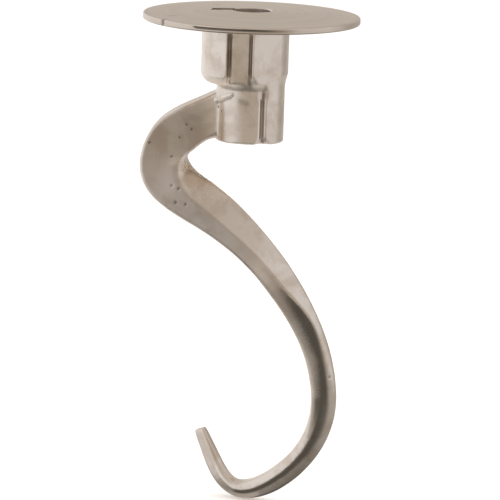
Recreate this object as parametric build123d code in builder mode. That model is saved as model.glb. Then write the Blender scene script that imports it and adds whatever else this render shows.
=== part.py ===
from build123d import *
import math
import os

# Dough hook for a 20 quart commercial stand mixer, in millimetres.
# Origin: centre of the shaft bore, level with the hub's top face, where the guard plate
# sits.  +Z runs up the bore towards the mixer's planetary shaft, -Y is the front of the
# hook, and the arm leaves the hub towards -X.  Angles are counted from +X towards +Y.

# Shaft fit
SHAFT_D = 25.4                  # planetary shaft, one inch
BORE_R = SHAFT_D / 2 + 0.05     # running radius of the bush and of the plate's hole
BORE_DEPTH = 64.0
PIN_SLOT_W = 9.5                # slot for the shaft's cross pin
PIN_SLOT_R = 27.2               # reach of the slot from the axis
PIN_SLOT_ANGLE = 170.0
PIN_SLOT_DEPTH = 31.0
LOCK_TURN = 38.0                # turn that hangs the hook on the pin
LOCK_HEIGHT = 10.0              # height of the pocket the pin turns in

# Drive bush
BUSH_R = 16.0
KEY_D = 4.0
KEY_LENGTH = 14.0
KEY_ANGLES = (45.0, 285.0)

# Guard plate
PLATE_R = 72.0
PLATE_RIM = 4.1                 # thickness at the rim
PLATE_CENTRE = 7.0              # thickness at the hole
RIM_ROUND = 0.8
DOWEL_D = 4.0
DOWEL_DEPTH = 4.0               # depth of each dowel in the plate
DOWEL_LENGTH = 12.0
DOWEL_CIRCLE = 20.2
DOWEL_ANGLES = (15.0, 80.0, 320.0)

# Hub
BARREL_R = 21.8
HUB_HEIGHT = 80.0
COLLAR_HEIGHT = 41.5
COLLAR_R = 23.0
FULL_TURN = (0.0, 360.0)
LOBE_R = 32.6
LOBE_ARC = (119.0, 268.0)       # lobe and the floor of the channel beside it
LOBE_EDGE = 241.0               # where the lobe's front edge stands
FLANK_DRAFT = 1.2               # lean of the lobe's front flank
CHANNEL_FLOOR = 22.6            # flat floor between the lobe and the pad, from the axis
CREASE_W = 1.8                  # sunk crease along each step of the hub
CREASE_DEPTH = 1.8
PAD_R = 25.4
PAD_FLAT = 23.1                 # distance of the pad's flat from the axis
PAD_FLAT_ANGLE = 297.0
PAD_ARC = (272.5, 415.0)
PAD_EDGE_X = 0.2                # where the pad's left edge stands in front of the collar
RIB_R = 23.6
RIB_ARC = (297.0, 400.0)
PAD_TAPER = 7.0                 # height over which the pad runs down to the rib
LOBE_ROUND = 7.0                # round under the lobe
HUB_ROUND = 0.8                 # round of the hub's lower edge

# Arm stations, from the root inside the hub to the tip.  Each is a four-cornered section
# that stands across the arm's run as seen from the front:
# (x, y, z) of its middle, tilt of its width above +X in degrees, width,
# ridge: place of the front corner across the width, 0 left to 1 right,
# heel: place of the back corner across the width,
# depth towards the front of the left corner, the ridge and the right corner,
# depth of the back corner, and the radius that rounds the four corners.
ARM_STATIONS = (
    ((-13.0, 0.0, -60.5), -90.0, 32.0, 1.00, 0.00, 8.6, 8.6, -8.6, 8.6, 2.6),
    ((-23.5, 0.0, -63.5), -88.0, 30.5, 1.00, 0.00, 8.6, 8.6, -8.6, 8.6, 2.6),
    ((-32.0, 0.0, -67.5), -79.0, 28.6, 1.00, 0.00, 8.8, 8.8, -8.8, 8.8, 2.6),
    ((-42.5, -1.0, -73.5), -59.0, 29.2, 1.00, 0.00, 8.8, 9.0, -8.8, 9.0, 2.6),
    ((-51.4, -2.5, -81.4), -34.0, 30.2, 0.99, 0.02, 8.4, 9.0, -8.6, 9.0, 2.6),
    ((-54.9, -4.5, -89.6), -10.0, 31.5, 0.95, 0.05, 8.0, 9.0, -8.2, 9.2, 2.6),
    ((-55.0, -7.5, -97.0), 12.0, 34.2, 0.84, 0.10, 7.6, 9.2, -7.2, 9.6, 2.6),
    ((-51.0, -10.5, -104.2), 29.0, 36.5, 0.66, 0.16, 7.4, 9.6, -6.0, 10.0, 2.5),
    ((-43.6, -14.0, -110.6), 42.0, 36.8, 0.53, 0.22, 7.2, 9.8, -4.8, 10.2, 2.4),
    ((-31.7, -18.0, -118.0), 56.0, 35.0, 0.45, 0.28, 7.2, 9.8, -3.8, 10.2, 2.3),
    ((-16.4, -22.5, -127.7), 53.0, 32.2, 0.41, 0.32, 7.2, 9.6, -3.2, 9.8, 2.2),
    ((-2.7, -26.5, -138.4), 48.0, 29.2, 0.40, 0.35, 7.2, 9.2, -2.8, 9.4, 2.2),
    ((10.6, -30.0, -151.2), 43.0, 27.0, 0.43, 0.38, 7.2, 8.8, -2.4, 9.0, 2.4),
    ((26.6, -31.0, -171.5), 32.0, 26.4, 0.51, 0.42, 7.0, 8.8, -1.8, 8.8, 3.2),
    ((39.5, -29.0, -194.4), 22.0, 25.2, 0.74, 0.46, 2.6, 9.0, 1.6, 8.8, 4.2),
    ((49.1, -24.0, -218.1), 15.0, 26.2, 0.70, 0.50, 0.6, 9.4, 1.2, 9.2, 5.8),
    ((55.3, -16.0, -245.8), 6.0, 27.1, 0.61, 0.50, 0.2, 9.8, 0.4, 9.6, 6.8),
    ((55.3, -5.0, -270.2), -5.0, 27.3, 0.53, 0.50, 0.0, 9.8, 0.0, 9.6, 7.0),
    ((45.9, 6.5, -297.0), -27.0, 25.3, 0.44, 0.50, 0.0, 9.6, 0.0, 9.4, 6.6),
    ((31.4, 15.0, -315.1), -50.0, 26.2, 0.42, 0.50, 0.0, 9.2, 0.0, 9.0, 6.4),
    ((14.4, 22.5, -326.9), -72.0, 23.6, 0.42, 0.50, -0.2, 8.6, 0.2, 8.4, 5.8),
    ((-1.7, 28.5, -328.9), -103.0, 18.3, 0.44, 0.52, -0.6, 7.4, 0.2, 7.6, 4.6),
    ((-11.2, 32.5, -321.9), -132.0, 15.8, 0.36, 0.56, -1.0, 6.4, -1.4, 6.8, 3.2),
    ((-18.3, 36.5, -310.4), -152.0, 14.0, 0.30, 0.60, -1.4, 5.4, -2.6, 6.4, 2.4),
    ((-23.6, 40.0, -299.4), -154.5, 11.8, 0.26, 0.62, -1.6, 4.6, -2.6, 5.6, 1.8),
    ((-27.1, 42.5, -292.0), -155.5, 9.6, 0.26, 0.62, -1.4, 3.6, -2.2, 4.4, 1.5),
)

os.makedirs("parts", exist_ok=True)


def polar(radius, angle):
    """Point in the XY plane at a radius and an angle in degrees."""
    turn = math.radians(angle)
    return (radius * math.cos(turn), radius * math.sin(turn))


def radial_plane(angle):
    """Upright plane through the Z axis whose X runs outwards at the angle."""
    out_x, out_y = polar(1.0, angle)
    return Plane(origin=(0, 0, 0), x_dir=(out_x, out_y, 0), z_dir=(out_y, -out_x, 0))


def section_plane(middle, tilt):
    """Plane across the arm: X along the section's width, Y towards the front."""
    across_x, across_z = polar(1.0, tilt)
    return Plane(origin=middle, x_dir=(across_x, 0, across_z), z_dir=(across_z, 0, -across_x))


def turn_sector(radius, top, bottom, arc, foot_round=0.0, foot_taper=None):
    """Add a sector of a turned body between two heights, rounded or tapered at its foot.

    foot_taper is the radius at the foot and the height that the taper takes."""
    start, end = arc
    foot_radius, taper_height = foot_taper or (radius, 0.0)
    with BuildSketch(radial_plane(start)) as half_section:
        Polygon((0, top), (radius, top), (radius, bottom + taper_height), (foot_radius, bottom),
                (0, bottom), align=None)
        if foot_round:
            outer = half_section.vertices().sort_by(Axis.Y)[:2].sort_by(Axis.X)[-1]
            fillet(outer, radius=foot_round)
    revolve(half_section.sketch, axis=Axis.Z, revolution_arc=end - start)


def export(piece, label):
    """Name a finished piece and write its STEP file."""
    piece.part.label = label
    export_step(piece.part, f"parts/{label}.step")


# Void of the pin slot: the straight way in from the top, and the pocket the pin turns in.
with BuildPart() as pin_way:
    with BuildSketch(Plane.XY.offset(PLATE_CENTRE + 1)):
        with Locations(Rot(0, 0, PIN_SLOT_ANGLE)):
            Rectangle(PIN_SLOT_R, PIN_SLOT_W, align=(Align.MIN, Align.CENTER))
    extrude(amount=-(PLATE_CENTRE + 1 + PIN_SLOT_DEPTH))
    half_pin = math.degrees(math.asin(PIN_SLOT_W / 2 / PIN_SLOT_R))
    turn_sector(PIN_SLOT_R, LOCK_HEIGHT - PIN_SLOT_DEPTH, -PIN_SLOT_DEPTH,
                (PIN_SLOT_ANGLE, PIN_SLOT_ANGLE + LOCK_TURN + half_pin))

# Stock that is left off the lobe, so that its front flank runs almost straight back.
with BuildPart() as lobe_flank:
    edge_x, edge_y = polar(LOBE_R, LOBE_EDGE)
    with BuildSketch():
        Polygon((edge_x, -LOBE_R - 1), (edge_x, edge_y), (edge_x + FLANK_DRAFT, -CHANNEL_FLOOR),
                (0, -CHANNEL_FLOOR), (0, -LOBE_R - 1), align=None)
    extrude(amount=-COLLAR_HEIGHT)

# Creases sunk at the foot of the lobe's flank, of the pad's edge and of the rib's edge.
with BuildPart() as creases:
    with BuildSketch():
        with Locations((edge_x + FLANK_DRAFT + CREASE_W / 2, -CHANNEL_FLOOR), (PAD_EDGE_X, -COLLAR_R)):
            Rectangle(CREASE_W, 2 * CREASE_DEPTH)
    extrude(amount=-COLLAR_HEIGHT)
    with BuildSketch(Plane.XY.offset(-COLLAR_HEIGHT)):
        with Locations(Rot(0, 0, RIB_ARC[0])):
            with Locations((BARREL_R, -CREASE_W / 2)):
                Rectangle(2 * CREASE_DEPTH, CREASE_W)
    extrude(amount=COLLAR_HEIGHT - HUB_HEIGHT)

# Stock that is left off the pad's front, so that it has a flat.
with BuildPart() as pad_flat:
    with BuildSketch(radial_plane(PAD_FLAT_ANGLE)):
        with Locations((PAD_FLAT, -COLLAR_HEIGHT)):
            Rectangle(PAD_R, COLLAR_HEIGHT, align=(Align.MIN, Align.MIN))
    extrude(amount=PAD_R, both=True)

# Casting: arm and hub in one piece of aluminium.
with BuildPart() as arm:
    for middle, tilt, width, ridge, heel, left, front, right, back, round_r in ARM_STATIONS:
        corners = ((-width / 2, left), (width * (ridge - 0.5), front),
                   (width / 2, right), (width * (heel - 0.5), -back))
        with BuildSketch(section_plane(middle, tilt)) as section:
            Polygon(*corners, align=None)
            fillet(section.vertices(), radius=round_r)
    loft()

with BuildPart() as hook_casting:
    turn_sector(PAD_R, 0, -COLLAR_HEIGHT, PAD_ARC, foot_taper=(RIB_R, PAD_TAPER))
    add(pad_flat.part, mode=Mode.SUBTRACT)
    turn_sector(LOBE_R, 0, -COLLAR_HEIGHT, LOBE_ARC, foot_round=LOBE_ROUND)
    add(lobe_flank.part, mode=Mode.SUBTRACT)
    turn_sector(BARREL_R, 0, -HUB_HEIGHT, FULL_TURN, foot_round=HUB_ROUND)
    turn_sector(COLLAR_R, 0, -COLLAR_HEIGHT, FULL_TURN)
    turn_sector(RIB_R, -COLLAR_HEIGHT, -HUB_HEIGHT, RIB_ARC, foot_round=HUB_ROUND)
    add(creases.part, mode=Mode.SUBTRACT)
    add(arm.part)
    Cylinder(BUSH_R, BORE_DEPTH, align=(Align.CENTER, Align.CENTER, Align.MAX),
             mode=Mode.SUBTRACT)
    add(pin_way.part, mode=Mode.SUBTRACT)
    with BuildSketch():
        with Locations([polar(BUSH_R, angle) for angle in KEY_ANGLES]):
            Circle(KEY_D / 2)
    extrude(amount=-KEY_LENGTH, mode=Mode.SUBTRACT)
    with BuildSketch():
        with Locations([polar(DOWEL_CIRCLE, angle) for angle in DOWEL_ANGLES]):
            Circle(DOWEL_D / 2)
    extrude(amount=DOWEL_DEPTH - DOWEL_LENGTH, mode=Mode.SUBTRACT)
export(hook_casting, "hook_casting")

# Turned plate that keeps dough off the planetary: a shallow cone over a flat underside.
with BuildPart() as guard_plate:
    with BuildSketch(Plane.XZ):
        with BuildLine():
            Polyline((0, 0), (PLATE_R, 0), (PLATE_R, PLATE_RIM), (BORE_R, PLATE_CENTRE),
                     (0, PLATE_CENTRE), close=True)
        make_face()
    revolve(axis=Axis.Z)
    rim_edges = guard_plate.edges().filter_by(GeomType.CIRCLE).group_by(SortBy.RADIUS)[-1]
    fillet(rim_edges, radius=RIM_ROUND)
    with BuildSketch():
        Circle(BORE_R)
    extrude(amount=PLATE_CENTRE, mode=Mode.SUBTRACT)
    add(pin_way.part, mode=Mode.SUBTRACT)
    with BuildSketch():
        with Locations([polar(DOWEL_CIRCLE, angle) for angle in DOWEL_ANGLES]):
            Circle(DOWEL_D / 2)
    extrude(amount=DOWEL_DEPTH, mode=Mode.SUBTRACT)
export(guard_plate, "guard_plate")

# Steel bush that carries the drive, with the same pin way cut through its wall.
with BuildPart() as drive_bush:
    Cylinder(BUSH_R, BORE_DEPTH, align=(Align.CENTER, Align.CENTER, Align.MAX))
    Cylinder(BORE_R, BORE_DEPTH, align=(Align.CENTER, Align.CENTER, Align.MAX),
             mode=Mode.SUBTRACT)
    add(pin_way.part, mode=Mode.SUBTRACT)
    with BuildSketch():
        with Locations([polar(BUSH_R, angle) for angle in KEY_ANGLES]):
            Circle(KEY_D / 2)
    extrude(amount=-KEY_LENGTH, mode=Mode.SUBTRACT)
export(drive_bush, "drive_bush")

# Round keys, half in the bush and half in the casting, that stop the bush turning.
with BuildPart() as bush_keys:
    with BuildSketch():
        with Locations([polar(BUSH_R, angle) for angle in KEY_ANGLES]):
            Circle(KEY_D / 2)
    extrude(amount=-KEY_LENGTH)
export(bush_keys, "bush_keys")

# Dowels pressed into the hub's top face and the plate's underside.
with BuildPart() as plate_dowels:
    with BuildSketch(Plane.XY.offset(DOWEL_DEPTH)):
        with Locations([polar(DOWEL_CIRCLE, angle) for angle in DOWEL_ANGLES]):
            Circle(DOWEL_D / 2)
    extrude(amount=-DOWEL_LENGTH)
export(plate_dowels, "plate_dowels")
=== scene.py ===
import math
import bmesh
import bpy
from bpy.props import FloatProperty, FloatVectorProperty, IntProperty, PointerProperty
from mathutils import Matrix, Vector, noise


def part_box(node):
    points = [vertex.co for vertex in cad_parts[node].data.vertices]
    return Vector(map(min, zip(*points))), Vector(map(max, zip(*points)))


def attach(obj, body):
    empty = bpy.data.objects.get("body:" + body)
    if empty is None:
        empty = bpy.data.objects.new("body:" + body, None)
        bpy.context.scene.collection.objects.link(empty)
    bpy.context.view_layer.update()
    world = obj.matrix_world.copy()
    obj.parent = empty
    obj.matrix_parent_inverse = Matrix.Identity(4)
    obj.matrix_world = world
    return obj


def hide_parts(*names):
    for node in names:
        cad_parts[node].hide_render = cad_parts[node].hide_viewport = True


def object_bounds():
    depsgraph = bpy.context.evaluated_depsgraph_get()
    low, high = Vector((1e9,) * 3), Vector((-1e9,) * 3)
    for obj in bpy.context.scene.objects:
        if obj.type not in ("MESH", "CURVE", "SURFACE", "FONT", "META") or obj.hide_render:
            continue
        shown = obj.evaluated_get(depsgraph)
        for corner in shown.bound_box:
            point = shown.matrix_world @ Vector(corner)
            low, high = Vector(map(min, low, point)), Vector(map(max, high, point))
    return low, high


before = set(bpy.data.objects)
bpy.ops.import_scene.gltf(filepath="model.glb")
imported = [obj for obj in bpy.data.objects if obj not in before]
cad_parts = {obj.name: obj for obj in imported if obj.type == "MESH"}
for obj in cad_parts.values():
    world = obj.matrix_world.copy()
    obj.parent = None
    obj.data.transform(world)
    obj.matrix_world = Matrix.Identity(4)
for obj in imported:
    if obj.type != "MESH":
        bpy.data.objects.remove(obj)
CAD_LOW, CAD_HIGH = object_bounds()

bl_info = {
    "name": "Dough hook",
    "version": (1, 0, 0),
    "blender": (4, 5, 0),
    "location": "View3D > Sidebar > Dough hook",
    "description": "Builds the burnished skin of a mixer's dough hook round its CAD frame",
    "category": "Object",
}

ROOT = "root"
MM = 0.001


# ---------------------------------------------------------------- settings

class CastingSettings(bpy.types.PropertyGroup):
    """Sizes and colours of the cast hub and arm."""

    skin_depth: IntProperty(
        name="Skin depth", description="Octree depth of the cast skin; one more halves its faces",
        default=9, min=4)
    skin_smoothing: IntProperty(
        name="Skin smoothing", description="Smoothing passes over the whole casting",
        default=2, min=0)
    root_smoothing: IntProperty(
        name="Root smoothing", description="Extra passes where the arm grows out of the hub",
        default=40, min=0)
    step_smoothing: IntProperty(
        name="Step smoothing", description="Extra passes at the foot of the collar and its creases",
        default=24, min=0)
    ripple: FloatProperty(
        name="Ripple", description="Height of the slow waves that hand polishing leaves",
        default=0.12 * MM, unit="LENGTH", subtype="DISTANCE")
    colour: FloatVectorProperty(
        name="Metal", description="Colour of the burnished metal",
        default=(0.50, 0.445, 0.39), size=3, min=0, max=1, subtype="COLOR")
    stain: FloatVectorProperty(
        name="Stain", description="Colour of the duller, warmer patches",
        default=(0.42, 0.355, 0.295), size=3, min=0, max=1, subtype="COLOR")


class PlateSettings(bpy.types.PropertyGroup):
    """Sizes and colours of the turned guard plate."""

    rim_height: FloatProperty(
        name="Rim height", description="Thickness of the plate at its rim",
        default=4.1 * MM, unit="LENGTH", subtype="DISTANCE")
    ring_pitch: FloatProperty(
        name="Ring pitch", description="Distance between the turned rings",
        default=1.1 * MM, unit="LENGTH", subtype="DISTANCE")
    colour: FloatVectorProperty(
        name="Metal", description="Colour of the turned metal",
        default=(0.455, 0.395, 0.335), size=3, min=0, max=1, subtype="COLOR")
    stain: FloatVectorProperty(
        name="Stain", description="Colour of the duller rings",
        default=(0.385, 0.325, 0.27), size=3, min=0, max=1, subtype="COLOR")


class StageSettings(bpy.types.PropertyGroup):
    """Floor, light and camera."""

    floor_radius: FloatProperty(
        name="Floor radius", description="Radius of the round floor",
        default=9.0, unit="LENGTH", subtype="DISTANCE")
    floor_colour: FloatVectorProperty(
        name="Floor", description="Colour of the floor",
        default=(0.92, 0.92, 0.92), size=3, min=0, max=1, subtype="COLOR")
    lamp_power: FloatProperty(
        name="Lamp power", description="Power of the overhead lamp",
        default=60.0, min=0, unit="POWER", subtype="POWER")
    distance: FloatProperty(
        name="Camera distance", description="Level distance from the bore's axis to the camera",
        default=2.0, unit="LENGTH", subtype="DISTANCE")
    pitch: FloatProperty(
        name="Camera pitch", description="How far the camera looks down",
        default=math.radians(11.63), unit="ROTATION", subtype="ANGLE")
    roll: FloatProperty(
        name="Camera roll", description="How far the camera is turned about its own axis",
        default=math.radians(1.86), unit="ROTATION", subtype="ANGLE")
    lens: FloatProperty(
        name="Lens", description="Focal length in millimetres", default=218.7)
    aim_offset: FloatVectorProperty(
        name="Aim offset", description="From the hook's mid-height on the bore's axis to the aim point",
        default=(3.8 * MM, 0, 9.5 * MM), size=3, unit="LENGTH", subtype="TRANSLATION")


LEFT_LIGHT = (1.42, 1.44, 1.50)
RIGHT_LIGHT = (1.22, 1.22, 1.25)
FRONT_LIGHT = (0.84, 0.77, 0.69)
BACK_LIGHT = (0.74, 0.70, 0.66)

SETTINGS = (
    ("hook_casting_settings", CastingSettings),
    ("hook_plate_settings", PlateSettings),
    ("hook_stage_settings", StageSettings),
)


# ---------------------------------------------------------------- node helpers

def add_node(tree, kind, links=None, **values):
    """Add a node, set its attributes and link or fill its sockets by name."""
    made = tree.nodes.new(kind)
    for name, value in values.items():
        setattr(made, name, value)
    for name, value in (links or {}).items():
        socket = made.inputs[name]
        if isinstance(value, bpy.types.NodeSocket):
            tree.links.new(value, socket)
        else:
            socket.default_value = value
    return made


def maths(tree, operation, *values, clamp=False):
    """Math node on numbers or sockets; returns its output."""
    links = {i: v for i, v in enumerate(values)}
    return add_node(tree, "ShaderNodeMath", links, operation=operation, use_clamp=clamp).outputs[0]


def map_range(tree, value, low, high, to_low=0.0, to_high=1.0):
    """Smooth map of a value from one range to another."""
    made = add_node(tree, "ShaderNodeMapRange", {
        "Value": value, "From Min": low, "From Max": high, "To Min": to_low, "To Max": to_high},
        interpolation_type="SMOOTHSTEP")
    return made.outputs["Result"]


def mix_colour(tree, factor, first, second, blend="MIX"):
    """Mix two colours."""
    made = tree.nodes.new("ShaderNodeMix")
    made.data_type = "RGBA"
    made.blend_type = blend
    for index, value in ((0, factor), (6, first), (7, second)):
        if isinstance(value, bpy.types.NodeSocket):
            tree.links.new(value, made.inputs[index])
        elif index == 0:
            made.inputs[index].default_value = value
        else:
            made.inputs[index].default_value = (*value[:3], 1.0)
    return made.outputs[2]


def new_group(name, inputs, outputs):
    """Shader node group with named sockets; returns the tree, its inputs and its output node."""
    tree = bpy.data.node_groups.new(name, "ShaderNodeTree")
    for label, kind, default in inputs:
        socket = tree.interface.new_socket(label, in_out="INPUT", socket_type=kind)
        if default is not None:
            socket.default_value = default
    for label, kind in outputs:
        tree.interface.new_socket(label, in_out="OUTPUT", socket_type=kind)
    return tree, tree.nodes.new("NodeGroupInput").outputs, tree.nodes.new("NodeGroupOutput").inputs


def place_group(tree, group, **values):
    """Use a group in a material; keyword names have _ for spaces."""
    made = tree.nodes.new("ShaderNodeGroup")
    made.node_tree = group
    for name, value in values.items():
        socket = made.inputs[name.replace("_", " ")]
        if isinstance(value, bpy.types.NodeSocket):
            tree.links.new(value, socket)
        else:
            socket.default_value = value
    return made.outputs


# ---------------------------------------------------------------- shared effects

def cast_grain_group():
    """Grain of burnished cast metal: fine height, patches and polishing streaks."""
    tree, given, put = new_group(
        "cast_grain",
        (("Vector", "NodeSocketVector", None), ("Scale", "NodeSocketFloat", 1.0)),
        (("Height", "NodeSocketFloat"), ("Patches", "NodeSocketFloat"),
         ("Streaks", "NodeSocketFloat")))
    fine = add_node(tree, "ShaderNodeTexNoise", {
        "Vector": given["Vector"], "Scale": maths(tree, "MULTIPLY", given["Scale"], 900.0),
        "Detail": 4.0, "Roughness": 0.6})
    broad = add_node(tree, "ShaderNodeTexNoise", {
        "Vector": given["Vector"], "Scale": maths(tree, "MULTIPLY", given["Scale"], 45.0),
        "Detail": 5.0, "Roughness": 0.62, "Distortion": 0.4})
    stretched = add_node(tree, "ShaderNodeMapping", {
        "Vector": given["Vector"], "Scale": (1.0, 1.0, 0.12)})
    streaks = add_node(tree, "ShaderNodeTexNoise", {
        "Vector": stretched.outputs[0], "Scale": maths(tree, "MULTIPLY", given["Scale"], 420.0),
        "Detail": 3.0, "Roughness": 0.55})
    tree.links.new(fine.outputs[0], put["Height"])
    tree.links.new(map_range(tree, broad.outputs[0], 0.40, 0.66), put["Patches"])
    tree.links.new(streaks.outputs[0], put["Streaks"])
    return tree


def pits_group():
    """Scattered blow holes: a mask that is 1 in a pit."""
    tree, given, put = new_group(
        "casting_pits",
        (("Vector", "NodeSocketVector", None), ("Spacing", "NodeSocketFloat", 0.012),
         ("Size", "NodeSocketFloat", 0.05)),
        (("Mask", "NodeSocketFloat"),))
    wobble = add_node(tree, "ShaderNodeTexNoise", {"Vector": given["Vector"], "Scale": 700.0})
    moved = add_node(tree, "ShaderNodeVectorMath", {
        0: wobble.outputs[1], 1: (0.0012, 0.0012, 0.0012), 2: given["Vector"]},
        operation="MULTIPLY_ADD")
    cells = add_node(tree, "ShaderNodeTexVoronoi", {
        "Vector": moved.outputs[0],
        "Scale": maths(tree, "DIVIDE", 1.0, given["Spacing"])})
    chosen = add_node(tree, "ShaderNodeSeparateColor", {"Color": cells.outputs["Color"]})
    size = maths(tree, "MULTIPLY", given["Size"], maths(tree, "POWER", chosen.outputs[0], 3.0))
    mask = maths(tree, "SUBTRACT", 1.0, maths(
        tree, "DIVIDE", cells.outputs["Distance"], maths(tree, "ADD", size, 0.001)), clamp=True)
    tree.links.new(mask, put["Mask"])
    return tree


def edge_wear_and_hollow_shade_group():
    """Bright worn edges, and painted shade in the hollows, both from the surface's own curvature."""
    tree, given, put = new_group(
        "edge_wear_and_hollow_shade",
        (("Vector", "NodeSocketVector", None), ("Amount", "NodeSocketFloat", 1.0)),
        (("Edges", "NodeSocketFloat"), ("Hollows", "NodeSocketFloat")))
    point = add_node(tree, "ShaderNodeNewGeometry").outputs["Pointiness"]
    breakup = add_node(tree, "ShaderNodeTexNoise", {
        "Vector": given["Vector"], "Scale": 160.0, "Detail": 3.0})
    edges = maths(tree, "MULTIPLY", map_range(tree, point, 0.505, 0.56), map_range(
        tree, breakup.outputs[0], 0.3, 0.6, 0.4, 1.0))
    hollows = map_range(tree, point, 0.495, 0.44)
    tree.links.new(maths(tree, "MULTIPLY", edges, given["Amount"]), put["Edges"])
    tree.links.new(maths(tree, "MULTIPLY", hollows, given["Amount"]), put["Hollows"])
    return tree


def turned_rings_group():
    """Fine lathe rings round the Z axis, uneven from ring to ring."""
    tree, given, put = new_group(
        "turned_rings",
        (("Vector", "NodeSocketVector", None), ("Pitch", "NodeSocketFloat", 0.001)),
        (("Height", "NodeSocketFloat"), ("Bands", "NodeSocketFloat")))
    axes = add_node(tree, "ShaderNodeSeparateXYZ", {"Vector": given["Vector"]})
    radius = maths(tree, "SQRT", maths(tree, "ADD", maths(
        tree, "POWER", axes.outputs[0], 2.0), maths(tree, "POWER", axes.outputs[1], 2.0)))
    steps = maths(tree, "DIVIDE", radius, given["Pitch"])
    line = add_node(tree, "ShaderNodeCombineXYZ", {"X": steps, "Y": maths(
        tree, "MULTIPLY", axes.outputs[2], 300.0)})
    fine = add_node(tree, "ShaderNodeTexNoise", {
        "Vector": line.outputs[0], "Scale": 2.0, "Detail": 4.0, "Roughness": 0.7})
    broad = add_node(tree, "ShaderNodeTexNoise", {
        "Vector": line.outputs[0], "Scale": 0.25, "Detail": 2.0})
    tree.links.new(fine.outputs[0], put["Height"])
    tree.links.new(broad.outputs[0], put["Bands"])
    return tree


GROUP_MAKERS = {
    "cast_grain": cast_grain_group,
    "casting_pits": pits_group,
    "edge_wear_and_hollow_shade": edge_wear_and_hollow_shade_group,
    "turned_rings": turned_rings_group,
}


def group(name):
    """The shared group of that name, built once."""
    return bpy.data.node_groups.get(name) or GROUP_MAKERS[name]()


# ---------------------------------------------------------------- materials

def metal(name, roughness):
    """Empty metal material: returns the material, its tree, its shader and object coordinates."""
    material = bpy.data.materials.new(name)
    material.use_nodes = True
    tree = material.node_tree
    tree.nodes.clear()
    shader = add_node(tree, "ShaderNodeBsdfPrincipled", {"Metallic": 1.0, "Roughness": roughness})
    out = add_node(tree, "ShaderNodeOutputMaterial")
    tree.links.new(shader.outputs[0], out.inputs[0])
    coordinates = add_node(tree, "ShaderNodeTexCoord").outputs["Object"]
    return material, tree, shader, coordinates


def cast_aluminium(settings):
    """Burnished cast aluminium of the hub and arm."""
    material, tree, shader, place = metal("cast_aluminium", 0.3)
    grain = place_group(tree, group("cast_grain"), Vector=place)
    pits = place_group(tree, group("casting_pits"), Vector=place, Spacing=0.011, Size=0.06)
    wear_and_shade = place_group(tree, group("edge_wear_and_hollow_shade"), Vector=place)
    tone = mix_colour(tree, grain["Patches"], settings.colour, settings.stain)
    tone = mix_colour(tree, maths(tree, "MULTIPLY", wear_and_shade["Edges"], 0.5), tone, (0.60, 0.55, 0.50))
    # Painted shade: hollows are darkened towards deep brown.
    tone = mix_colour(tree, maths(tree, "MULTIPLY", wear_and_shade["Hollows"], 0.2), tone, (0.22, 0.18, 0.15))
    # Painted shade: the pits are darkened almost to black.
    tone = mix_colour(tree, maths(tree, "MULTIPLY", pits["Mask"], 0.8), tone, (0.12, 0.10, 0.09))
    dull_and_shaded = add_node(tree, "ShaderNodeAttribute", attribute_name="dull_and_shaded").outputs["Fac"]
    painted_light = add_node(tree, "ShaderNodeAttribute", attribute_name="painted_light").outputs["Fac"]
    smudge_and_shade = add_node(tree, "ShaderNodeAttribute", attribute_name="smudge_and_shade").outputs["Fac"]
    # Painted shade, with a duller finish: the arm's flat front is darkened where it faces the front,
    # and made rougher below.
    tone = mix_colour(tree, maths(tree, "MULTIPLY", dull_and_shaded, 0.26), tone, (0.06, 0.05, 0.05))
    # Painted shadows and shade, darkened here: along the creases, under the flash, in the corner under
    # the collar and in the blow holes; also a real dirty smudge.
    tone = mix_colour(tree, maths(tree, "MULTIPLY", smudge_and_shade, 0.85), tone, (0.05, 0.045, 0.04))
    tree.links.new(tone, shader.inputs["Base Color"])
    rough = maths(tree, "ADD", 0.19, maths(tree, "MULTIPLY", grain["Patches"], 0.07))
    rough = maths(tree, "ADD", rough, maths(tree, "MULTIPLY", dull_and_shaded, 0.12))
    rough = maths(tree, "ADD", rough, maths(tree, "MULTIPLY", grain["Height"], 0.06))
    rough = maths(tree, "ADD", rough, maths(tree, "MULTIPLY", pits["Mask"], 0.3))
    rough = maths(tree, "ADD", rough, maths(tree, "MULTIPLY", painted_light, 0.15))
    rough = maths(tree, "ADD", rough, maths(tree, "MULTIPLY", smudge_and_shade, 0.2))
    tree.links.new(rough, shader.inputs["Roughness"])
    # Painted light: less metal along the inside edge of the arm's flat front and on the undersides, so
    # they read lighter.
    tree.links.new(maths(tree, "SUBTRACT", 1.0, maths(tree, "MULTIPLY", painted_light, 0.55)),
                   shader.inputs["Metallic"])
    height = maths(tree, "ADD", maths(tree, "MULTIPLY", grain["Height"], 0.5), maths(
        tree, "MULTIPLY", grain["Streaks"], 0.4))
    height = maths(tree, "SUBTRACT", height, maths(tree, "MULTIPLY", pits["Mask"], 6.0))
    bump = add_node(tree, "ShaderNodeBump", {
        "Height": height, "Strength": 0.35, "Distance": 0.06 * MM})
    tree.links.new(bump.outputs[0], shader.inputs["Normal"])
    return material


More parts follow.
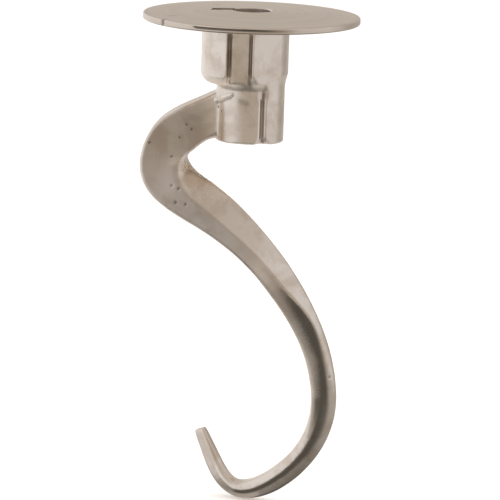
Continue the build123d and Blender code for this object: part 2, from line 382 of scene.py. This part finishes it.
def turned_aluminium(settings):
    """Turned and burnished aluminium of the guard plate."""
    material, tree, shader, place = metal("turned_aluminium", 0.3)
    grain = place_group(tree, group("cast_grain"), Vector=place, Scale=0.8)
    rings = place_group(tree, group("turned_rings"), Vector=place, Pitch=settings.ring_pitch)
    wear_and_shade = place_group(tree, group("edge_wear_and_hollow_shade"), Vector=place)
    tone = mix_colour(tree, map_range(tree, rings["Bands"], 0.35, 0.65, 0.0, 0.6),
                      settings.colour, settings.stain)
    tone = mix_colour(tree, maths(tree, "MULTIPLY", grain["Patches"], 0.3), tone, settings.stain)
    tone = mix_colour(tree, maths(tree, "MULTIPLY", wear_and_shade["Edges"], 0.5), tone, (0.60, 0.55, 0.50))
    smudge_and_shade = add_node(tree, "ShaderNodeAttribute", attribute_name="smudge_and_shade").outputs["Fac"]
    # Painted shade, darkened here: along the ground flat of the rim, in the nick and in pits of the
    # top.
    tone = mix_colour(tree, maths(tree, "MULTIPLY", smudge_and_shade, 0.85), tone, (0.05, 0.045, 0.04))
    tree.links.new(tone, shader.inputs["Base Color"])
    rough = maths(tree, "ADD", 0.27, maths(tree, "MULTIPLY", rings["Height"], 0.1))
    tree.links.new(rough, shader.inputs["Roughness"])
    height = maths(tree, "ADD", rings["Height"], maths(tree, "MULTIPLY", grain["Height"], 0.4))
    bump = add_node(tree, "ShaderNodeBump", {
        "Height": height, "Strength": 0.35, "Distance": 0.05 * MM})
    tree.links.new(bump.outputs[0], shader.inputs["Normal"])
    return material


def plain_steel(name, colour, roughness):
    """Bored or ground steel with fine marks round the bore."""
    material, tree, shader, place = metal(name, roughness)
    rings = place_group(tree, group("turned_rings"), Vector=place, Pitch=0.0006)
    grain = place_group(tree, group("cast_grain"), Vector=place)
    darker = tuple(0.7 * c for c in colour)
    tone = mix_colour(tree, maths(tree, "MULTIPLY", grain["Patches"], 0.7), colour, darker)
    tree.links.new(tone, shader.inputs["Base Color"])
    rough = maths(tree, "ADD", roughness, maths(tree, "MULTIPLY", grain["Height"], 0.12))
    tree.links.new(rough, shader.inputs["Roughness"])
    bump = add_node(tree, "ShaderNodeBump", {
        "Height": rings["Height"], "Strength": 0.3, "Distance": 0.04 * MM})
    tree.links.new(bump.outputs[0], shader.inputs["Normal"])
    return material


def dress(node, material):
    """Give a CAD node a material."""
    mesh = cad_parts[node].data
    mesh.materials.clear()
    mesh.materials.append(material)


# ---------------------------------------------------------------- mesh helpers

def link_mesh(name, mesh):
    """Object at the origin that shows a mesh."""
    piece = bpy.data.objects.new(name, mesh)
    bpy.context.scene.collection.objects.link(piece)
    return piece


def cad_copy(node, name):
    """New mesh object with a CAD node's shape, its loose triangles merged."""
    form = bmesh.new()
    form.from_mesh(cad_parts[node].data)
    bmesh.ops.remove_doubles(form, verts=form.verts, dist=0.01 * MM)
    mesh = bpy.data.meshes.new(name)
    form.to_mesh(mesh)
    form.free()
    return link_mesh(name, mesh)


def bake_modifiers(piece):
    """Replace the piece's mesh by what its modifiers make of it."""
    evaluated = piece.evaluated_get(bpy.context.evaluated_depsgraph_get())
    mesh = bpy.data.meshes.new_from_object(evaluated)
    piece.modifiers.clear()
    old = piece.data
    piece.data = mesh
    bpy.data.meshes.remove(old)


def finish_mesh(form, piece, material, sharp):
    """Write a bmesh to its piece: outward normals, smooth faces, edges past sharp degrees crisp."""
    bmesh.ops.recalc_face_normals(form, faces=form.faces)
    for face in form.faces:
        face.smooth = True
    for edge in form.edges:
        edge.smooth = len(edge.link_faces) == 2 and edge.calc_face_angle() < math.radians(sharp)
    form.to_mesh(piece.data)
    form.free()
    piece.data.materials.clear()
    piece.data.materials.append(material)


# ---------------------------------------------------------------- pieces

# Places on the casting in millimetres, in the frame's own axes: where the arm leaves the
# barrel, the inside of its first bend, and the shoulder above that.
ARM_ROOT = (-22.0, -8.0, -63.0)
INNER_CORNER = (-39.0, -20.0, -100.0)
SHOULDER = (-32.0, -9.0, -54.0)
# Blow holes: place, reach and depth; each is also painted dark as the shade inside it.
BLOW_HOLES = (
    ((-44.8, -23.2, -110.4), 1.7, 0.4), ((-49.5, -21.4, -108.8), 1.3, 0.3),
    ((-46.5, -23.9, -119.8), 1.6, 0.35), ((-39.8, -25.8, -120.5), 1.3, 0.3),
    ((-41.0, -9.6, -69.6), 1.3, 0.25), ((-37.6, -9.4, -72.8), 1.3, 0.25),
    ((-45.4, -10.5, -78.3), 1.3, 0.25), ((-65.2, -11.8, -82.1), 1.3, 0.25),
    ((-50.3, -13.4, -90.8), 1.3, 0.25), ((59.7, -26.6, -234.9), 1.3, 0.3),
    ((-20.1, -9.8, -56.8), 1.3, 0.05), ((-18.2, -12.2, -59.5), 1.2, 0.05),
)
# Flash left where the mould's halves met, how far it stands out, and the painted shadow under it.
FLASH = ((-21.5, -8.8, -52.6), (-11.7, -18.6, -47.2))
FLASH_HEIGHT = 1.1
FLASH_FOOT = ((-21.0, -9.2, -54.8), (-12.0, -18.4, -49.6))
# Creases of the hub, from their upper to their lower end, and how wide their shadow is.
CREASES = (
    ((-13.7, -21.8, -4.0), (-13.7, -21.8, -34.0), 2.3),
    ((0.2, -22.0, -4.0), (0.2, -22.0, -39.0), 2.4),
    ((9.7, -18.9, -46.0), (9.7, -18.9, -80.0), 2.0),
)
# Dirty smudge on the barrel, from end to end.
SMUDGE = ((-5.5, -21.0, -51.0), (-1.5, -21.8, -52.4))
# Height of the step from the collar down to the barrel, how far under it the painted shadow lies, and
# the turns from the front towards +X over which the painted shadow comes in and goes out.
COLLAR_FOOT = -41.5
SHADOW_DROP = 1.2
SHADOW_START = (-72.0, -48.0)
SHADOW_END = (34.0, 22.0)
# Over these radii the hub gives way to the arm, down to this height.
HUB_FADE = (24.0, 34.0)
HUB_END = -84.0
# Edge down the inside of the arm's flat front, along which a strip of painted light runs, and the
# height where it starts.
INNER_EDGE = (
    (10.0, -36.0, -160.0), (22.0, -37.0, -181.0), (34.5, -30.5, -202.5), (44.5, -26.5, -224.0),
    (47.0, -18.0, -246.0),
)
INNER_EDGE_TOP = -150.0
# Middle line of the lower bend, as X and Z, with how far its round front leans outwards
# there, and the height where it starts.
BEND = (
    (49.0, -218.0, 0.0), (55.0, -246.0, 0.0), (55.0, -270.0, 0.04), (46.0, -297.0, 0.12),
    (31.0, -315.0, 0.22), (14.0, -327.0, 0.26), (-2.0, -329.0, 0.18), (-11.0, -322.0, 0.0),
)
BEND_TOP = -215.0
# Plate in millimetres and degrees, turns counted from the front towards +X: its bore and pin
# slot, the rounds of its mouth and rim, and the heights of the rows of faces down the rim.
BORE_R = 12.75
PIN_SLOT_TURN = 170.0
PIN_SLOT_REACH = 27.2
PIN_SLOT_WIDTH = 9.5
MOUTH_BEVEL = 0.7
RIM_ROUND = 0.9
RIM_TURNS = (0.0, 22.5, 45.0, 67.5, 90.0)
RIM_ROWS = (2.9, 2.6, 2.3, 1.9, 1.5, 1.1)
# Rows of faces across the top, as shares of the way from the bore to the rim.
TOP_ROWS = tuple(0.03 + 0.047 * step for step in range(20))
# Flat ground along the front of the rim, the nick beside it, and pits in the top; painted shade darkens
# the flat's line, the nick and the pits.
FLAT_ARC = (-30.0, 27.0)
FLAT_HEIGHT = 2.3
FLAT_DEPTH = 0.75
NICK_TURN = -53.2
NICK_DEPTH = 0.9
PLATE_PITS = ((-51.8, -25.4, 4.9), (-24.1, 34.6, 5.8))
PLATE_PIT_REACH = 2.3


def smoothstep(value, low, high):
    """0 below low, 1 above high, smooth between; low may be the larger."""
    t = min(max((value - low) / (high - low), 0.0), 1.0)
    return t * t * (3.0 - 2.0 * t)


def relax(form, weight, passes):
    """Smooth a bmesh by passes, each vertex by its own weight from 0 to 1."""
    bands = {}
    for vert in form.verts:
        share = weight(vert.co)
        if share > 0.02:
            bands.setdefault(math.ceil(share * 4), []).append(vert)
    for step in range(passes):
        for band, verts in bands.items():
            if step * 4 < passes * band:
                bmesh.ops.smooth_vert(form, verts=verts, factor=0.5, use_axis_x=True,
                                      use_axis_y=True, use_axis_z=True)


def near(point, reach):
    """Weight that is 1 at a point and fades to 0 over the reach."""
    middle = Vector(point) * MM

    def weight(place):
        return smoothstep((place - middle).length, reach * MM, 0.4 * reach * MM)
    return weight


def along(start, end, reach):
    """Weight that is 1 on a line between two places and fades to 0 over the reach."""
    foot = Vector(start) * MM
    run = Vector(end) * MM - foot

    def weight(place):
        share = 0.0
        if run.length_squared:
            share = min(max((place - foot).dot(run) / run.length_squared, 0.0), 1.0)
        return smoothstep((place - foot - run * share).length, reach * MM, 0.2 * reach * MM)
    return weight


def dent(form, weight, depth):
    """Push the skin in by a depth in mm, or out with a depth under 0."""
    for vert in form.verts:
        share = weight(vert.co)
        if share:
            vert.co -= vert.normal * depth * MM * share


def paint(form, name, weight, amount=1.0):
    """Raise a named vertex value to a weighted amount."""
    layer = form.verts.layers.float.get(name) or form.verts.layers.float.new(name)
    for vert in form.verts:
        vert[layer] = max(vert[layer], amount * weight(vert.co))


def lean_bend(form):
    """Lean the round front of the lower bend outwards, as the rod twists towards its tip."""
    for vert in form.verts:
        if vert.co.z > BEND_TOP * MM:
            continue
        here = Vector((vert.co.x, vert.co.z)) / MM
        best = None
        for (x0, z0, lean0), (x1, z1, lean1) in zip(BEND, BEND[1:]):
            foot = Vector((x0, z0))
            run = Vector((x1, z1)) - foot
            share = min(max((here - foot).dot(run) / run.length_squared, 0.0), 1.0)
            gap = here - foot - run * share
            if best is None or gap.length < best[0]:
                side = gap.x * -run.y + gap.y * run.x
                lean = lean0 + (lean1 - lean0) * share
                best = (gap.length, math.copysign(gap.length, side) * lean)
        vert.co.y += best[1] * MM


def ripple(form, height):
    """Slow uneven waves that grinding by hand leaves on the arm."""
    for vert in form.verts:
        x, y, z = vert.co / MM
        free = smoothstep(math.hypot(x, y), *HUB_FADE) if z > HUB_END else 1.0
        wave = noise.noise(vert.co / (18.0 * MM)) + 0.5 * noise.noise(vert.co / (8.0 * MM))
        vert.co += vert.normal * wave * height * free


def collar_foot(place):
    """Weight of the step from the collar down to the barrel."""
    x, y, z = place / MM
    return smoothstep(abs(z - COLLAR_FOOT), 8.0, 3.5) if math.hypot(x, y) < 36.0 else 0.0


def inner_edge(place):
    """Weight of the painted light strip down the inside edge of the arm's flat front."""
    if place.z > INNER_EDGE_TOP * MM:
        return 0.0
    pairs = zip(INNER_EDGE, INNER_EDGE[1:])
    return max(along(start, end, 10.0)(place) for start, end in pairs)


def foot_shadow(place):
    """Weight of the painted shadow in the corner under the collar, round its front."""
    x, y, z = place / MM
    turn = math.degrees(math.atan2(x, -y))
    if math.hypot(x, y) >= 26.0:
        return 0.0
    front = smoothstep(turn, *SHADOW_START) * smoothstep(turn, *SHADOW_END)
    return front * smoothstep(abs(z - COLLAR_FOOT + SHADOW_DROP), 2.4, 0.6)


def paint_front_shade_and_underside_light(form):
    """Write where the arm's flat front is rougher and painted darker as shade where it faces the front,
    and where the undersides of hub and arm are made less metallic as painted light.
    """
    dull_and_shaded = form.verts.layers.float.new("dull_and_shaded")
    painted_light = form.verts.layers.float.new("painted_light")
    for vert in form.verts:
        x, y, z = vert.co / MM
        facing = smoothstep(-vert.normal.y, 0.78, 0.92)
        off_hub = smoothstep(math.hypot(x, y), 24.0, 36.0) if z > HUB_END else 1.0
        on_arm = smoothstep(z, -185.0, -135.0) * smoothstep(z, -40.0, -50.0)
        # Painted shade and duller finish on the arm's flat front where it faces the front.
        vert[dull_and_shaded] = facing * off_hub * on_arm
        # Painted light: undersides that face down are made less metallic so they read lighter.
        vert[painted_light] = smoothstep(-vert.normal.z, 0.05, 0.45) * smoothstep(z, -175.0, -120.0)


class HOOK_OT_casting(bpy.types.Operator):
    """Cast hub and arm, with soft blends, polishing waves and blow holes"""
    bl_idname = "hook.casting"
    bl_label = "Hub and arm casting"

    def execute(self, context):
        settings = context.scene.hook_casting_settings
        piece = cad_copy("hook_casting", "cast_hub_and_arm")
        remesh = piece.modifiers.new("skin", "REMESH")
        remesh.mode = "SHARP"
        remesh.octree_depth = settings.skin_depth
        remesh.scale = 0.75
        remesh.use_smooth_shade = True
        bake_modifiers(piece)
        form = bmesh.new()
        form.from_mesh(piece.data)
        for _ in range(settings.skin_smoothing):
            bmesh.ops.smooth_vert(form, verts=form.verts, factor=0.5, use_axis_x=True,
                                  use_axis_y=True, use_axis_z=True)
        relax(form, near(ARM_ROOT, 16.0), settings.root_smoothing)
        relax(form, near(INNER_CORNER, 18.0), settings.root_smoothing)
        relax(form, near(SHOULDER, 14.0), settings.root_smoothing // 2)
        relax(form, collar_foot, settings.step_smoothing)
        for upper, lower, _ in CREASES:
            relax(form, along(upper, lower, 4.5), settings.step_smoothing // 3)
            relax(form, near(upper, 6.0), settings.step_smoothing)
            relax(form, near(lower, 6.0), settings.step_smoothing)
        lean_bend(form)
        form.normal_update()
        ripple(form, settings.ripple)
        dent(form, along(*FLASH, 1.6), -FLASH_HEIGHT)
        # Painted shadow: a dark line under the flash.
        paint(form, "smudge_and_shade", along(*FLASH_FOOT, 1.2), 0.5)
        paint(form, "smudge_and_shade", along(*SMUDGE, 3.0), 0.35)
        # Blow holes are dented and painted dark as the shade inside them.
        for place, reach, depth in BLOW_HOLES:
            dent(form, near(place, reach), depth)
            paint(form, "smudge_and_shade", near(place, 0.9 * reach), 0.8)
        # Painted shadow along each crease.
        for upper, lower, shadow in CREASES:
            paint(form, "smudge_and_shade", along(upper, lower, shadow), 0.75)
        # Painted shadow in the corner under the collar.
        paint(form, "smudge_and_shade", foot_shadow, 0.38)
        form.normal_update()
        paint_front_shade_and_underside_light(form)
        # Painted light: a lighter strip along the inside edge of the arm's flat front.
        paint(form, "painted_light", inner_edge, 0.5)
        finish_mesh(form, piece, cast_aluminium(settings), sharp=75.0)
        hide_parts("hook_casting")
        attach(piece, ROOT)
        return {"FINISHED"}


def plate_section(settings):
    """Half section of the plate from the bore's mouth round the rim to the underside, in mm."""
    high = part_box("guard_plate")[1]
    rim, height = high.x / MM, high.z / MM
    run = rim - BORE_R
    top = settings.rim_height / MM
    slope = (height - top) / run
    mouth = [(BORE_R, 0.0), (BORE_R, height - MOUTH_BEVEL), (BORE_R + MOUTH_BEVEL, height)]
    rows = [(BORE_R + run * share, height - slope * run * share) for share in TOP_ROWS]
    insets = [(RIM_ROUND * (1 - math.cos(math.radians(turn))),
               RIM_ROUND * (1 - math.sin(math.radians(turn)))) for turn in RIM_TURNS]
    upper = [(rim - inward, top - down + slope * RIM_ROUND) for inward, down in reversed(insets)]
    edge = [(rim, row) for row in RIM_ROWS]
    lower = [(rim - inward, up) for inward, up in insets]
    return mouth + rows + upper + edge + lower + [(BORE_R + 1.0, 0.0)]


def carve_rim(form, rim):
    """Sink the thin flat that was ground along the front of the rim, and the nick beside it."""
    for vert in form.verts:
        x, y, z = vert.co / MM
        radius = math.hypot(x, y)
        if radius < rim - 1.5:
            continue
        turn = math.degrees(math.atan2(x, -y))
        taper = smoothstep(turn, FLAT_ARC[1], FLAT_ARC[0]) if turn > FLAT_ARC[0] else 0.0
        flat = FLAT_DEPTH * taper * smoothstep(abs(z - FLAT_HEIGHT), 1.1, 0.3)
        nick = NICK_DEPTH * smoothstep(abs(turn - NICK_TURN), 1.3, 0.3) * smoothstep(z, 0.6, 1.4)
        vert.co *= 1.0 - max(flat, nick) / radius
        vert.co.z = z * MM


def rim_shade(place):
    """Weight of the painted shade along the ground flat at the front of the rim, and in the nick."""
    x, y, z = place / MM
    if math.hypot(x, y) < 69.0:
        return 0.0
    turn = math.degrees(math.atan2(x, -y))
    start = smoothstep(turn, FLAT_ARC[0] - 0.5, FLAT_ARC[0])
    line = start * smoothstep(turn, FLAT_ARC[1], 5.0) * smoothstep(abs(z - FLAT_HEIGHT), 0.9, 0.4)
    return max(line, smoothstep(abs(turn - NICK_TURN), 1.2, 0.4))


class HOOK_OT_plate(bpy.types.Operator):
    """Turned guard plate with its bore, pin slot and worn rim"""
    bl_idname = "hook.plate"
    bl_label = "Guard plate"

    def execute(self, context):
        settings = context.scene.hook_plate_settings
        form = bmesh.new()
        verts = [form.verts.new((r * MM, 0, z * MM)) for r, z in plate_section(settings)]
        edges = [form.edges.new(pair) for pair in zip(verts, verts[1:] + verts[:1])]
        bmesh.ops.spin(form, geom=verts + edges, cent=(0, 0, 0), axis=(0, 0, 1), steps=288,
                       angle=math.tau, use_merge=True, use_duplicate=False)
        bmesh.ops.remove_doubles(form, verts=form.verts, dist=0.005 * MM)
        bmesh.ops.recalc_face_normals(form, faces=form.faces)
        carve_rim(form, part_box("guard_plate")[1].x / MM)
        mesh = bpy.data.meshes.new("turned_guard_plate")
        form.to_mesh(mesh)
        form.free()
        piece = link_mesh("turned_guard_plate", mesh)
        slot = bmesh.new()
        turned = Matrix.Rotation(math.radians(PIN_SLOT_TURN), 4, "Z")
        moved = Matrix.Translation((PIN_SLOT_REACH * MM / 2, 0, 0))
        sized = Matrix.Diagonal((PIN_SLOT_REACH * MM, PIN_SLOT_WIDTH * MM, 0.05, 1))
        bmesh.ops.create_cube(slot, size=1.0, matrix=turned @ moved @ sized)
        cutter_mesh = bpy.data.meshes.new("slot_cutter")
        slot.to_mesh(cutter_mesh)
        slot.free()
        cutter = link_mesh("slot_cutter", cutter_mesh)
        cut = piece.modifiers.new("pin slot", "BOOLEAN")
        cut.operation = "DIFFERENCE"
        cut.solver = "EXACT"
        cut.object = cutter
        bake_modifiers(piece)
        bpy.data.objects.remove(cutter)
        bpy.data.meshes.remove(cutter_mesh)
        form = bmesh.new()
        form.from_mesh(piece.data)
        bmesh.ops.recalc_face_normals(form, faces=form.faces)
        # Painted shade along the ground flat of the rim and in the nick.
        paint(form, "smudge_and_shade", rim_shade, 0.9)
        # Painted shade: dark pits in the top, painted only.
        for place in PLATE_PITS:
            paint(form, "smudge_and_shade", near(place, PLATE_PIT_REACH))
        finish_mesh(form, piece, turned_aluminium(settings), sharp=40.0)
        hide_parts("guard_plate")
        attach(piece, ROOT)
        return {"FINISHED"}


class HOOK_OT_steel(bpy.types.Operator):
    """Steel bush, its keys and the plate's dowels"""
    bl_idname = "hook.steel"
    bl_label = "Bush, keys and dowels"

    def execute(self, context):
        bored = plain_steel("bush_steel", (0.36, 0.34, 0.32), 0.34)
        ground = plain_steel("pin_steel", (0.55, 0.54, 0.53), 0.22)
        dress("drive_bush", bored)
        dress("bush_keys", ground)
        dress("plate_dowels", ground)
        return {"FINISHED"}


# ---------------------------------------------------------------- stage

def make_floor(settings):
    """Round pale floor just under the hook."""
    form = bmesh.new()
    bmesh.ops.create_circle(form, cap_ends=True, segments=96, radius=settings.floor_radius,
                            matrix=Matrix.Translation((0, 0, CAD_LOW.z - 0.2 * MM)))
    mesh = bpy.data.meshes.new("floor")
    form.to_mesh(mesh)
    form.free()
    floor = link_mesh("floor", mesh)
    material = bpy.data.materials.new("floor")
    material.use_nodes = True
    shader = material.node_tree.nodes["Principled BSDF"]
    shader.inputs["Base Color"].default_value = (*settings.floor_colour, 1)
    shader.inputs["Roughness"].default_value = 0.9
    shader.inputs["Specular IOR Level"].default_value = 0.1
    mesh.materials.append(material)
    floor.visible_glossy = False


def make_world():
    """Soft studio all round: bright at the sides, mid-toned in front, dark low in front.

    Light that reaches the hook by way of its own metal comes from a plain bright sky.
    """
    world = bpy.data.worlds.new("studio")
    bpy.context.scene.world = world
    world.use_nodes = True
    tree = world.node_tree
    tree.nodes.clear()
    axes = add_node(tree, "ShaderNodeSeparateXYZ", {
        "Vector": add_node(tree, "ShaderNodeTexCoord").outputs["Generated"]})
    x, y, z = axes.outputs
    turn = maths(tree, "DEGREES", maths(tree, "ARCTAN2", x, maths(tree, "MULTIPLY", y, -1.0)))
    away = maths(tree, "ABSOLUTE", turn)
    back = mix_colour(tree, map_range(tree, turn, -120.0, 120.0), (1.40, 1.38, 1.38), BACK_LIGHT)
    back = mix_colour(tree, map_range(tree, away, 150.0, 175.0), back, (0.82, 0.76, 0.70))
    side = mix_colour(tree, map_range(tree, turn, -10.0, 10.0), LEFT_LIGHT, RIGHT_LIGHT)
    sides = mix_colour(tree, map_range(tree, away, 95.0, 125.0), side, back)
    front = maths(tree, "MULTIPLY", map_range(tree, turn, -64.0, -14.0), map_range(
        tree, turn, 52.0, 38.0))
    ring = mix_colour(tree, front, sides, FRONT_LIGHT)
    upper = mix_colour(tree, map_range(tree, z, 0.48, 0.82), ring, (0.98, 0.93, 0.88))
    lower = mix_colour(tree, map_range(tree, z, -0.30, -0.50), sides, (0.74, 0.71, 0.67))
    shade = maths(tree, "MULTIPLY", map_range(tree, x, -0.88, -0.62), map_range(
        tree, x, 0.78, 0.12))
    shade = maths(tree, "MULTIPLY", shade, map_range(tree, turn, -120.0, -85.0))
    shade = maths(tree, "MULTIPLY", shade, map_range(tree, z, -0.99, -0.90, 0.5, 1.0))
    dark = mix_colour(tree, shade, lower, (0.155, 0.15, 0.138))
    sky = mix_colour(tree, map_range(tree, z, -0.33, -0.45), upper, dark)
    path = add_node(tree, "ShaderNodeLightPath")
    between = maths(tree, "GREATER_THAN", path.outputs["Ray Depth"], 2.5)
    sky = mix_colour(tree, between, sky, (1.9, 1.85, 1.8))
    background = add_node(tree, "ShaderNodeBackground", {"Color": sky, "Strength": 1.0})
    out = add_node(tree, "ShaderNodeOutputWorld")
    tree.links.new(background.outputs[0], out.inputs[0])


def make_lamp(settings):
    """Large soft lamp overhead that lifts the floor and stays out of the metal's reflections."""
    data = bpy.data.lights.new("overhead", "AREA")
    data.shape = "DISK"
    data.size = 4.0
    data.energy = settings.lamp_power
    lamp = bpy.data.objects.new("overhead", data)
    bpy.context.scene.collection.objects.link(lamp)
    lamp.location = (0, 0, 3.0)
    lamp.visible_glossy = False


def make_camera(settings):
    """Camera in front of the hook, a little above it, looking down."""
    scene = bpy.context.scene
    data = bpy.data.cameras.new("camera")
    data.sensor_width = 36.0
    data.lens = settings.lens
    camera = bpy.data.objects.new("camera", data)
    scene.collection.objects.link(camera)
    aim = Vector((0, 0, (CAD_LOW.z + CAD_HIGH.z) / 2)) + Vector(settings.aim_offset)
    rise = settings.distance * math.tan(settings.pitch)
    camera.location = aim + Vector((0, -settings.distance, rise))
    tilt = Matrix.Rotation(math.pi / 2 - settings.pitch, 4, "X")
    camera.rotation_euler = (tilt @ Matrix.Rotation(settings.roll, 4, "Z")).to_euler()
    scene.camera = camera


class HOOK_OT_stage(bpy.types.Operator):
    """Pale floor, soft studio light and the camera"""
    bl_idname = "hook.stage"
    bl_label = "Stage"

    def execute(self, context):
        settings = context.scene.hook_stage_settings
        context.scene.view_settings.view_transform = "Standard"
        make_floor(settings)
        make_world()
        make_lamp(settings)
        make_camera(settings)
        return {"FINISHED"}


# ---------------------------------------------------------------- panel and run

OPERATORS = (HOOK_OT_casting, HOOK_OT_plate, HOOK_OT_steel, HOOK_OT_stage)


class HOOK_PT_panel(bpy.types.Panel):
    """Lists the hook's pieces in the order they are built"""
    bl_idname = "HOOK_PT_panel"
    bl_label = "Dough hook"
    bl_space_type = "VIEW_3D"
    bl_region_type = "UI"
    bl_category = "Dough hook"

    def draw(self, context):
        for operator in OPERATORS:
            self.layout.operator(operator.bl_idname)


def register():
    for name, settings in SETTINGS:
        bpy.utils.register_class(settings)
        setattr(bpy.types.Scene, name, PointerProperty(type=settings))
    for item in (*OPERATORS, HOOK_PT_panel):
        bpy.utils.register_class(item)


def unregister():
    for item in reversed((*OPERATORS, HOOK_PT_panel)):
        bpy.utils.unregister_class(item)
    for name, settings in reversed(SETTINGS):
        delattr(bpy.types.Scene, name)
        bpy.utils.unregister_class(settings)


def main():
    register()
    bpy.ops.hook.casting()
    bpy.ops.hook.plate()
    bpy.ops.hook.steel()
    bpy.ops.hook.stage()


if __name__ == "__main__":
    main()
